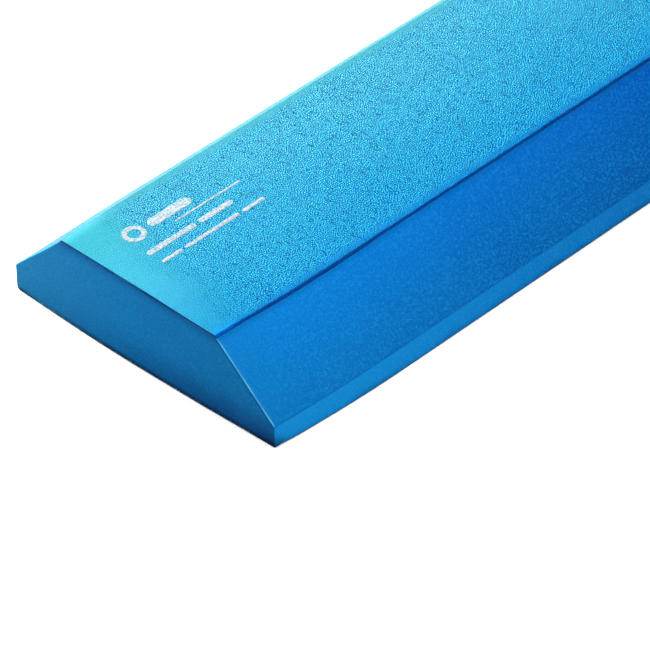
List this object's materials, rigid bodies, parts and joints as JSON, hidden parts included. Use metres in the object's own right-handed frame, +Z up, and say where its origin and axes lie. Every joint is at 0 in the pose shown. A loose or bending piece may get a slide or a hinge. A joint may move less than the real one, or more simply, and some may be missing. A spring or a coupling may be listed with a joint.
{
  "type": "floor balance beam",
  "caption": "Low soft balance beam for the floor: a long closed-cell foam bar with a wide base, sloped sides and a flat, grained walking surface.",
  "frame": {"origin": "on the floor, under the middle of the beam", "axes": "+X along the beam, away from the printed end; +Y across it; +Z up, out of the walking surface"},
  "size_m": [1.62, 0.24, 0.063],
  "materials": {
    "foam": "matt closed-cell foam, finely speckled",
    "walking_skin": "satin moulded skin with a crinkled grain",
    "base_skin": "matt moulded skin with a fine grain",
    "white_ink": "thin matt ink film"
  },
  "bodies": {
    "root": {"base_skin": "base_skin", "foam_core": "foam", "top_skin": "walking_skin", "printed_emblem": "white_ink", "printed_lines": "white_ink"}
  },
  "joints": []
}
